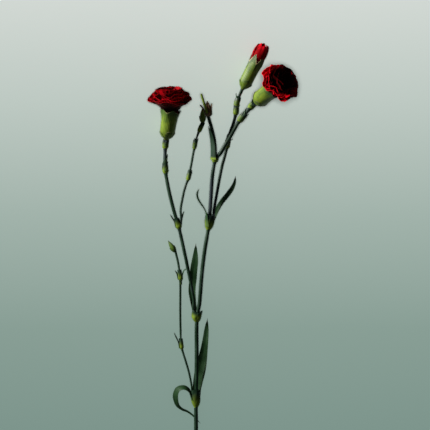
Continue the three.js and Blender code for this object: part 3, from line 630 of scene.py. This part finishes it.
# A sheath that wraps a stalk above a knot: a wall round part of the stalk, from first to last along it,
# that narrows to a free point on the side at an angle and stands off there. Past the stalk's end it goes
# straight on.
def addSheath(skin, stalk, first, last, middle, spread=2.5, off=0.7):
    line, radius = stalks[stalk]
    end = lengthOf(line)
    at = np.linspace(first, last, 26)
    path = resampled(line, line, np.minimum(at, end))
    along, side, over = framesOf(resampled(line, line, np.linspace(first, min(last, end), 26)))
    path = path + np.maximum(at - end, 0)[:, None] * along
    share = np.linspace(0, 1, 26)[:, None]
    x = np.linspace(-1, 1, 21)[None]
    angle = middle + x * (spread * (1 - ease((share - 0.35) / 0.65)) + 0.12)
    thick = resampled(line, radius, at)[:, None]
    thick = thick + (sheathSizes["stand"] + off * ease((share - 0.5) / 0.5)) * mm
    grid = path[:, None] + thick[..., None] * (
        np.cos(angle)[..., None] * side[:, None] + np.sin(angle)[..., None] * over[:, None])
    skin.shell(grid, sheathSizes["wall"] * mm * (1 - 0.4 * share), 0.7 * (1 - share))


def sheathOver(node, stalk):  # where a sheath's solid starts and ends along its stalk, and its side
    line = stalks[stalk][0]
    solid = cornersOf(node)[0]
    run = np.linspace(0, lengthOf(line), 400)
    path = resampled(line, line, run)
    nearest = np.linalg.norm(solid[:, None] - path[None], axis=-1).argmin(1)
    far = nearest > np.percentile(nearest, 60)
    towards = unit((solid[far] - path[nearest[far]]).mean(0))
    along, side, over = framesOf(path)
    half = len(run) // 2
    return (run[nearest.min()], run[nearest.max()] + sheathSizes["tip"] * mm,
            np.arctan2(towards @ over[half], towards @ side[half]))


sheaths = Skin()
for node, stalk in sheathNodes.items():
    addSheath(sheaths, stalk, *sheathOver(node, stalk))
for stalk, places in smallSheaths.items():
    for back, long, middle, off in places:
        start = lengthOf(stalks[stalk][0]) - back * mm
        addSheath(sheaths, stalk, start, start + long * mm, middle, spread=1.5, off=off)
sheaths.make("stalkSheaths", leafFinish, "leaf", *sheathNodes)
print("leaves made")


class Head:  # a head's own axes, from its solid's rings: up its axis, right along the table, and the third
    def __init__(self, node, stalk):
        rings = ringsOf(node, near=stalks[stalk][0][-1])
        self.foot = rings[0][0]
        self.axis = unit(rings[2].mean(0) - self.foot)
        self.right = unit(np.cross(self.axis, upwards))
        self.third = np.cross(self.axis, self.right)
        middles = [r.mean(0) for r in rings]
        self.heights = np.array([(c - self.foot) @ self.axis for c in middles])
        self.radii = np.array([np.linalg.norm(r - c, axis=1).mean() for r, c in zip(rings, middles)])

    def leaned(self, degrees, fixed):  # the same head leaned to the right, with one point of its axis kept
        other = copy(self)
        other.axis = unit(self.axis + np.tan(np.radians(degrees)) * self.right)
        other.foot = self.foot + fixed * (self.axis - other.axis)
        other.right = unit(np.cross(other.axis, upwards))
        other.third = np.cross(other.axis, other.right)
        return other

    def place(self, radius, turn, height):  # points from their distance, angle and height in the head's axes
        radius, turn, height = (q[..., None] for q in np.broadcast_arrays(radius, turn, height))
        return (self.foot + radius * (np.cos(turn) * self.right + np.sin(turn) * self.third)
                + height * self.axis)


def shareOf(turn, count, offset):  # how near a turn is to one of a ring's points: 0 between two, 1 on one
    return np.abs(1 - 2 * np.mod(count * (turn - offset) / (2 * np.pi), 1))


calyxSizes = {"rings": 7, "points": 5, "ribs": 35, "ridge": 0.004, "wall": 0.5, "splay": 0.25, "raised": 0.95}
scaleSizes = {"wall": 0.45, "curve": 0.22, "stand": 0.45}


# A calyx with its foot on its scale bracts' foot, and its slimness at each of its rings.
def calyxHead(name, scales, stalk, slim):
    head = Head(name, stalk)
    head.foot = Head(scales, stalk).foot
    head.heights = head.heights + calyxSizes["raised"] * mm
    head.slim = np.interp(np.arange(calyxSizes["rings"]), [0, 2, 6], slim)
    return head


def outlineOf(head):  # the heights and radii of a calyx's outer rings
    outer = slice(1, calyxSizes["rings"] + 1)
    return head.heights[outer], head.radii[outer] * head.slim


# A calyx: a wall whose radius follows the solid's outer rings up its axis, ribbed round it, with points that
# stand up from its rim. The tone marks the thin pale margin of each point.
def addCalyx(skin, head, tooth, offset=0.0, pale=0.6):
    heights, radii = outlineOf(head)
    heights = np.concatenate([[heights[0] - 0.2 * mm], heights])
    radii = np.concatenate([[radii[0] * 0.6], radii])
    profile = np.stack([radii, heights], -1)
    share = np.linspace(0, 1, 44)[:, None]
    outline = resampled(profile, profile, share[:, 0] * lengthOf(profile))
    turn = np.linspace(0, 2 * np.pi, 210, endpoint=False)[None]
    stand = shareOf(turn, calyxSizes["points"], offset)
    up = ease((share - 0.55) / 0.45)
    rise = tooth * mm * (stand ** 1.15 - 0.45) * up
    ribs = calyxSizes["ridge"] * np.sin(calyxSizes["ribs"] * turn) * ease(share * 3)
    radius = outline[:, :1] * (1 + ribs) + calyxSizes["splay"] * mm * (1 - stand) * up
    margin = pale * ease((share - 0.88) / 0.12) * (1 - 0.6 * stand)
    grid = head.place(radius, turn, outline[:, 1:] + rise)
    skin.shell(grid, calyxSizes["wall"] * mm * (1 - 0.5 * share), margin, closed=True)


# Scale bracts round a calyx's foot, each with its turn, height, spread and how far it stands off: an oval
# scale with a point, bent to the calyx.
def addScales(skin, head, scales):
    heights, radii = outlineOf(head)
    share = np.linspace(0, 1, 22)[:, None]
    x = np.linspace(-1, 1, 15)[None]
    for middle, reach, spread, off in scales:
        height = reach * mm * (share - scaleSizes["curve"] * x ** 2 * share * (1 - share))
        wide = spread * np.sqrt(np.clip(1 - share, 0, 1)) * (0.75 + 0.5 * share) + 0.03
        radius = np.interp(height, heights, radii) + (off + scaleSizes["stand"] * share ** 2) * mm
        radius = radius * ease(0.35 + share * 4) + 0.25 * mm
        skin.shell(head.place(radius, middle + x * wide, height), scaleSizes["wall"] * mm * (1 - 0.5 * share),
                   0.45 * np.abs(x) ** 6 + 0.3 * share ** 8)


# What every petal starts from. Then for each whorl: how many petals, at what turn the first stands, their
# distance from the axis in the calyx's mouth, lean and open in degrees, length beyond the mouth, fan in
# degrees, cup, and ruffle height and waves. droop opens the petals that face up, and tuck closes those that
# face right.
petalSizes = {"claw": 9.0, "thick": 0.34, "teeth": 9.0, "tooth": 0.45, "roll": 0, "turnOver": 0.7,
              "droop": 0, "tuck": 0, "softness": 0.7}
# shade scales each petal's tone: lower in the inner whorls for painted shade deep in a flower, higher for
# painted light on the right flower's outer petals.
flowers = {
    "left": {"seed": 25, "stalk": "left_flower_stalk", "lift": 0.5, "slim": [0.93, 0.96, 1.04], "lean": 2.2,
             "petalLean": -10.2, "tooth": 3.0, "lit": (), "whorls": {
        "Outer": {"shade": 1.0, "count": 7, "turn": 10, "from": 0.88, "lean": 14, "open": 56, "long": 17.0,
                  "fan": 54, "cup": 1.3, "ruffle": 1.7, "waves": 1.4, "roll": 6, "droop": 9, "tuck": 6},
        "Second": {"shade": 1.0, "count": 6, "turn": 50, "from": 0.76, "lean": 10, "open": 44, "long": 19.0,
                   "fan": 58, "cup": 1.15, "ruffle": 2.1, "waves": 1.6, "roll": 6, "droop": 7.2, "tuck": 6},
        "Third": {"shade": 0.9, "count": 6, "turn": 12, "from": 0.6, "lean": 6, "open": 34, "long": 20.6,
                  "fan": 56, "cup": 1.05, "ruffle": 2.4, "waves": 1.8, "droop": 4.5},
        "Inner": {"shade": 0.75, "count": 5, "turn": 33, "from": 0.42, "lean": 3, "open": 24, "long": 21.5,
                  "fan": 50, "cup": 1.0, "ruffle": 2.4, "waves": 2.1},
        "Core": {"shade": 0.6, "count": 4, "turn": 70, "from": 0.22, "lean": 0, "open": 12, "long": 20,
                 "fan": 42, "cup": 1.2, "ruffle": 1.8, "waves": 3.0},
    }},
    "right": {"seed": 25, "stalk": "right_flower_stalk", "lift": 1.5, "slim": [0.96, 0.96, 0.96], "lean": 0,
              "petalLean": 0, "tooth": 3.0, "lit": ("Outer", "Second", "Third"), "whorls": {
        "Outer": {"shade": 1.6, "count": 6, "turn": 54, "from": 0.88, "lean": 12, "open": 58, "long": 14.5,
                  "fan": 56, "cup": 1.3, "ruffle": 1.9, "waves": 1.6, "roll": -14, "turnOver": 0.6},
        "Second": {"shade": 1.0, "count": 6, "turn": 20, "from": 0.76, "lean": 10, "open": 54, "long": 16.5,
                   "fan": 56, "cup": 1.15, "ruffle": 2.2, "waves": 1.7, "roll": -8, "turnOver": 0.6},
        "Third": {"shade": 0.7, "count": 6, "turn": 50, "from": 0.6, "lean": 6, "open": 44, "long": 18.5,
                  "fan": 54, "cup": 1.05, "ruffle": 2.4, "waves": 1.9},
        "Inner": {"shade": 0.42, "count": 5, "turn": 10, "from": 0.42, "lean": 3, "open": 28, "long": 19.8,
                  "fan": 50, "cup": 1.0, "ruffle": 1.8, "waves": 2.7},
        "Core": {"shade": 0.3, "count": 4, "turn": 30, "from": 0.22, "lean": 0, "open": 14, "long": 19.6,
                 "fan": 42, "cup": 1.2, "ruffle": 1.7, "waves": 3.2},
    }},
}
whorlSolids = {"Outer": ("outer", 5), "Second": ("middle", 4), "Third": ("inner", 3)}
flowerScales = [(0.3, 8.5, 0.95, 0.1), (0.3 + np.pi, 8.5, 0.95, 0.1),
                (0.3 + np.pi / 2, 10.0, 0.9, 0.35), (0.3 - np.pi / 2, 10.0, 0.9, 0.35)]


# A petal in its flower's axes. It is a fan: run up from its root, spread across by an angle. The run
# follows a line that leans from lean to open degrees off the axis, and may roll on at its end. Across, it
# wraps round the axis on a radius that grows with cup. Ruffles push it to and fro, more towards its rim,
# whose edge is toothed.
def addPetal(skin, head, mouth, radius, turn, p):
    u = np.linspace(0, 1, 32)[:, None] ** 0.85
    v = np.linspace(-1, 1, 65)[None]
    long, fan, claw = p["long"] * mm, np.radians(p["fan"]), p["claw"] * mm  # the claw is hidden in the calyx
    phase = rng.uniform(0, 2 * np.pi, 5)
    teeth = 1.8 * np.abs(np.mod(v * p["teeth"] + phase[0], 1) - 0.5) - 0.45 + 0.5 * np.sin(5 * v + phase[1])
    rim = 1 - 0.13 * v ** 2 - 0.13 * v ** 6 + teeth * p["tooth"] * mm / long * ease((u - 0.8) / 0.2)
    reach = (claw + long * rim) * u
    limb = np.clip((reach - claw * 0.9) / long, 0, None)  # how far past the claw
    spread = v * fan * ease(limb * 1.5 + 0.12)
    x = (1.3 * mm + limb * long * 1.05) * np.sin(spread) + 0.8 * mm * v * (1 - ease(limb * 2))
    y = np.minimum(reach, claw * 0.9) + limb * long * np.cos(spread)

    fine = np.linspace(0, claw + long * 1.2, 160)  # the line it follows, at even steps
    opened = ease((fine - claw * 0.55) / (long * p["turnOver"]))
    rolled = ease((fine - claw - long * 0.6) / (long * 0.5))
    angle = np.radians(p["lean"] + (p["open"] - p["lean"]) * opened + p["roll"] * rolled)
    out, high = np.cumsum(np.sin(angle)) * fine[1], np.cumsum(np.cos(angle)) * fine[1]
    out, high = out + radius - np.interp(claw, fine, out), high + mouth - np.interp(claw, fine, high)
    r, z, a = (np.interp(y, fine, q) for q in (out, high, angle))

    around = np.maximum(r, 2.0 * mm) * (1 + (p["cup"] - 1) * ease(limb * 1.2))
    frill = ease((limb - 0.25) / 0.75) ** 1.3
    wave = p["waves"] * v * p["fan"] / 57.3  # degrees in a radian
    push = p["ruffle"] * mm * frill * (
        np.sin(2.2 * wave + phase[2]) + 0.45 * np.sin(4.6 * wave + phase[3])
        + frill * (0.16 * np.sin(9.5 * wave + phase[4]) + 0.07 * np.sin(21 * wave + phase[0])))
    inward = around * (1 - np.cos(x / around)) + push
    sideways = around * np.sin(x / around) + 0.35 * push * np.cos(2.2 * wave + phase[3])
    twist = np.radians(p["twist"]) * ease(limb)
    radial, across = r - inward * np.cos(a) + sideways * np.sin(twist), sideways * np.cos(twist)
    grid = (head.foot + radial[..., None] * (np.cos(turn) * head.right + np.sin(turn) * head.third)
            + across[..., None] * (np.cos(turn) * head.third - np.sin(turn) * head.right)
            + (z + inward * np.sin(a))[..., None] * head.axis)
    soft = p["softness"] * mm  # what would pass through the table bends to lie on it
    grid[..., 2] = 0.25 * mm + soft * np.logaddexp(0, grid[..., 2] / soft)
    # the tone, rising with u squared times shade, gives painted shade towards the petal's foot and a painted
    # highlight on its rim
    skin.shell(grid, p["thick"] * mm * (1 - 0.45 * u), u ** 2 * p["shade"], up=u[:, 0])


for side, flower in flowers.items():
    rng = np.random.default_rng(flower["seed"])
    calyx = calyxHead(f"{side}_calyx", f"{side}_scale_bracts", flower["stalk"], flower["slim"])
    calyx = calyx.leaned(flower["lean"], 0)
    piece = Skin()
    addCalyx(piece, calyx, flower["tooth"])
    piece.make(f"{side}Calyx", calyxFinish, "calyx", f"{side}_calyx")
    piece = Skin()
    addScales(piece, calyx, flowerScales)
    piece.make(f"{side}ScaleBracts", calyxFinish, "calyx", f"{side}_scale_bracts")
    mouth, width = calyx.heights[calyxSizes["rings"]] + flower["lift"] * mm, outlineOf(calyx)[1][-1]
    corolla = calyx.leaned(flower["petalLean"], mouth)
    for whorl, own in flower["whorls"].items():
        piece = Skin()
        for i in range(own["count"]):
            p = petalSizes | own
            p["open"] += rng.uniform(-7, 7)
            p["long"] *= rng.uniform(0.94, 1.04)
            p["ruffle"] *= rng.uniform(0.8, 1.25)
            p["twist"] = rng.uniform(-12, 12)
            turn = np.radians(p["turn"] + 360 * i / p["count"] + rng.uniform(-6, 6))
            p["open"] += p["droop"] * max(0, -np.sin(turn)) - p["tuck"] * max(0, np.cos(turn))
            addPetal(piece, corolla, mouth, width * p["from"], turn, p)
        solid, count = whorlSolids.get(whorl, ("", 0))
        # The whorls listed as lit wear the brighter copy as painted light, and the kiss lamp lights them as
        # well.
        made = piece.make(f"{side}{whorl}Petals", paintedLitPetalFinish if whorl in flower["lit"] else petalFinish,
                          "petal", *(f"{side}_{solid}_petal_{i + 1}" for i in range(count)))
        if whorl in flower["lit"]:
            rims.objects.link(made)
    print(side, "flower made")


budSizes = {"tooth": 9.0, "slim": [0.66, 0.85, 0.90], "sunk": 6.0, "edge": 0.45, "thick": 0.4}
budScales = [(0.2, 8.5, 0.9, 0.1), (0.2 + np.pi, 8.5, 0.9, 0.1),
             (0.2 + np.pi / 2, 10.5, 0.8, 0.3), (0.2 - np.pi / 2, 10.5, 0.8, 0.3)]
budPetals = [  # turn, distance from the axis in the mouth, length beyond it, spread, how far it closes in
    (0.6, 0.96, 15.5, 1.25, 0.30), (2.7, 0.96, 14.5, 1.25, 0.30), (4.8, 0.96, 13.5, 1.25, 0.30),
    (1.7, 0.84, 16.5, 1.2, 0.34), (3.8, 0.84, 15.5, 1.2, 0.34), (5.9, 0.84, 16.0, 1.2, 0.34),
    (0.2, 0.6, 16.0, 1.2, 0.35), (2.6, 0.6, 16.0, 1.2, 0.35)]


# A bud's petal: it goes up from inside the mouth, bulges slightly and closes in towards its round tip,
# wrapped round the axis by its spread, with one edge lying further out than the other.
def addBudPetal(skin, head, mouth, width, turn, start, long, spread, close):
    u = np.linspace(0, 1, 28)[:, None]
    v = np.linspace(-1, 1, 31)[None]
    phase = rng.uniform(0, 6, 2)
    sunk = budSizes["sunk"]
    tip = 1 - 0.42 * np.abs(v) ** 2.2
    height = mouth + ((long + sunk) * u * tip - sunk + 0.25 * np.sin(7 * v + phase[0]) * u ** 4) * mm
    level = np.clip((height - mouth) / (long * mm), 0, 1)
    start = start - 0.08 * (1 - ease((height - mouth + 3 * mm) / (9 * mm)))  # clear of the calyx's wall
    radius = width * (start + 0.10 * np.sin(np.pi * level * 0.8) - close * level ** 2.6)
    wander = 0.25 * np.sin(9 * v + 3 * u + phase[1]) * level
    radius = radius + (budSizes["edge"] * v * (0.4 + level) + wander) * mm
    # painted shade and highlight: the tone falls towards each petal's foot and edges and rises to its tip,
    # where the petal finish paints a bright rim
    tone = (0.62 + 0.42 * u ** 2) * (1 - 0.55 * np.abs(v) ** 5)
    skin.shell(head.place(np.maximum(radius, 0.6 * mm), turn + v * spread * (1 - 0.12 * u), height),
               budSizes["thick"] * mm * (1 - 0.4 * u), tone)


budCalyx = calyxHead("bud_calyx", "bud_scale_bracts", "red_bud_stalk", budSizes["slim"])
piece = Skin()
addCalyx(piece, budCalyx, budSizes["tooth"], offset=0.5, pale=0.9)
piece.make("budCalyx", redBudFinish, "calyx", "bud_calyx")
piece = Skin()
addScales(piece, budCalyx, budScales)
piece.make("budScaleBracts", redBudFinish, "calyx", "bud_scale_bracts")
piece = Skin()
for sizes in budPetals:
    addBudPetal(piece, budCalyx, budCalyx.heights[calyxSizes["rings"]], outlineOf(budCalyx)[1][-1], *sizes)
piece.make("budPetals", petalFinish, "petal", "bud_outer_petal_1", "bud_outer_petal_2", "bud_outer_petal_3")
print("red bud made")


# The green bud wears the calyx's lighter finish as painted light, for it lies in the left flower's shadow.
closedBuds = {"green_bud": ("greenBud", "green_bud_stalk", calyxFinish),
              "twig_bud": ("twigBud", "lower_twig", twigBudFinish)}
closedSizes = {"folds": 5, "fold": 0.12, "slim": 0.88, "scaleReach": 0.45, "scaleWall": 0.4}


# A closed bud: a body of rings whose radius follows the solid's, with shallow folds that deepen to its
# point, and two scales at its foot.
def addClosedBud(skin, node, stalk):
    head = Head(node, stalk)
    head.radii = head.radii * closedSizes["slim"]
    profile = np.stack([head.radii, head.heights], -1)
    share = np.linspace(0.01, 0.995, 40)[:, None]
    outline = resampled(profile, profile, share[:, 0] * lengthOf(profile))
    turn = np.linspace(0, 2 * np.pi, 60, endpoint=False)[None]
    crease = 1 - shareOf(turn, closedSizes["folds"], 0.3)
    radius = np.maximum(outline[:, :1], 0.05 * mm) * (1 + 0.015 * np.sin(35 * turn))
    radius = radius * (1 - closedSizes["fold"] * crease ** 2 * ease(share * 1.6 - 0.3))
    skin.tube(head.place(radius, turn, outline[:, 1:]), 0.35 * crease ** 4 * ease(share * 2 - 0.8),
              share[:, 0] * 0.9)
    s = np.linspace(0, 1, 20)[:, None]
    x = np.linspace(-1, 1, 13)[None]
    height = head.heights[-1] * closedSizes["scaleReach"] * s
    around = np.interp(height, head.heights, head.radii) + (0.2 + 0.4 * s ** 2) * mm
    wide = 1.2 * np.sqrt(1 - s) * (0.7 + 0.6 * s) + 0.04
    for middle in (0.4, 0.4 + np.pi):
        grid = head.place(around, middle + x * wide, height)
        skin.shell(grid, closedSizes["scaleWall"] * mm * (1 - 0.5 * s), 0.5 * s ** 2 * np.abs(x) ** 3)


for node, (label, stalk, finish) in closedBuds.items():
    piece = Skin()
    addClosedBud(piece, node, stalk)
    piece.make(label, finish, "calyx", node)


dryBracts = [  # turn, height, spread, distance from the axis, how far its tip curls out, how torn it is
    (0.2, 12.5, 1.1, 3.2, 0.8, 0.6), (1.9, 14.5, 1.0, 3.3, 0.2, 0.5), (3.2, 11.0, 0.8, 3.2, 5.0, 0.6),
    (4.7, 13.5, 1.0, 3.3, 0.5, 0.5), (1.0, 10.0, 0.8, 2.4, 0.3, 0.8), (2.6, 11.0, 0.8, 2.4, 0.2, 0.8),
    (5.4, 10.5, 0.8, 2.5, 0.4, 0.8)]


# A dried bract: a long scale round the head's axis, curled outwards at its torn tip.
def addDryBract(skin, head, middle, reach, spread, radius, curl, torn):
    s = np.linspace(0, 1, 26)[:, None]
    x = np.linspace(-1, 1, 15)[None]
    wide = spread * (1 - s ** 1.8) * (0.65 + 0.9 * s) + 0.05
    height = reach * s + torn * np.sin(11 * x + middle * 5) * s ** 3
    around = radius * np.sqrt(np.clip(s * 6, 0, 1)) * (1 - 0.18 * s) + curl * s ** 2.2
    around = around + 0.25 * np.sin(6 * x + 9 * s + middle)
    skin.shell(head.place(around * mm, middle + x * wide, height * mm), 0.35 * mm, (1 - s) ** 2 * 0.9)


dried = Head("withered_calyx", "main_stem")
piece = Skin()
for sizes in dryBracts:
    addDryBract(piece, dried, *sizes)
piece.make("witheredHead", witheredFinish, "withered", "withered_calyx")
print("buds and withered head made")


stageLook = {"view": 0.4085, "height": 3.0, "centre": (-0.00912, 0.03205), "level": 0.015, "sensor": 36,
             "start": -0.18462, "fade": 0.43333, "stops": [
                 (0.02, (0.24, 0.355, 0.315)), (0.25, (0.29, 0.405, 0.36)), (0.5, (0.42, 0.53, 0.485)),
                 (0.75, (0.60, 0.69, 0.65)), (0.98, (0.76, 0.82, 0.79))]}


def tableSkin():  # a painted light falloff: grey-green at the near end, fading to pale grey
    m = Finish("tableSkin", Specular_IOR_Level=0.1)
    place, uv = m.places()
    share = (m.part(place, 1) - stageLook["start"]) / stageLook["fade"]
    colour = m.node("ShaderNodeValToRGB", {"stops": stageLook["stops"]}, {0: share})
    return m.wear(colour, 0.85 + 0.05 * m.noise(place, 40), m.noise(place, 500), 0.05, 0.0002)


floorMesh = bpy.data.meshes.new("table")
floorMesh.from_pydata([(-3, -3, 0), (3, -3, 0), (3, 3, 0), (-3, 3, 0)], [], [(0, 1, 2, 3)])
floorMesh.materials.append(tableSkin())
floorMesh.uv_layers.new(name="UVMap")
table = bpy.data.objects.new("table", floorMesh)
bpy.context.scene.collection.objects.link(table)
table.visible_diffuse = False  # as with a black flag between the spray and its backdrop
ground = bpy.data.collections.new("ground")
ground.objects.link(table)

world = bpy.data.worlds.new("room")
world.use_nodes = True
world.node_tree.nodes["Background"].inputs["Color"].default_value = (0.80, 0.88, 0.90, 1)
world.node_tree.nodes["Background"].inputs["Strength"].default_value = 0.10
bpy.context.scene.world = world

# The key lights the spray alone, from the upper left. The kiss is a reflector for the flower that faces
# away from it, and the wash lights the table alone, as a backdrop is lit.
lamps = {
    "key": {"at": (-2.1, 1.25, 0.62), "size": 0.55, "power": 185, "colour": (1.0, 0.98, 0.94), "on": spray},
    "kiss": {"at": (-0.8, 0.9, 1.0), "size": 0.3, "power": 42, "colour": (1.0, 0.98, 0.94), "on": rims},
    "wash": {"at": (-0.009, 0.032, 3.3), "size": 0.5, "power": 84, "colour": (1.0, 0.985, 0.965),
             "on": ground}}
aim = Vector((0, 0.05, 0))
for name, lamp in lamps.items():
    light = bpy.data.lights.new(name, "AREA")
    light.energy, light.size, light.color = lamp["power"], lamp["size"], lamp["colour"]
    holder = bpy.data.objects.new(name, light)
    holder.location = lamp["at"]
    holder.rotation_euler = (Vector(lamp["at"]) - aim).to_track_quat("Z", "Y").to_euler()
    holder.light_linking.receiver_collection = lamp["on"]
    bpy.context.scene.collection.objects.link(holder)

lens = bpy.data.cameras.new("camera")
camera = bpy.data.objects.new("camera", lens)
camera.location = (*stageLook["centre"], stageLook["height"])
lens.sensor_width = stageLook["sensor"]
lens.lens = stageLook["sensor"] * (stageLook["height"] - stageLook["level"]) / stageLook["view"]
lens.clip_end = 20
bpy.context.scene.collection.objects.link(camera)
bpy.context.scene.camera = camera
bpy.context.scene.view_settings.view_transform = "Standard"

print("stage set")
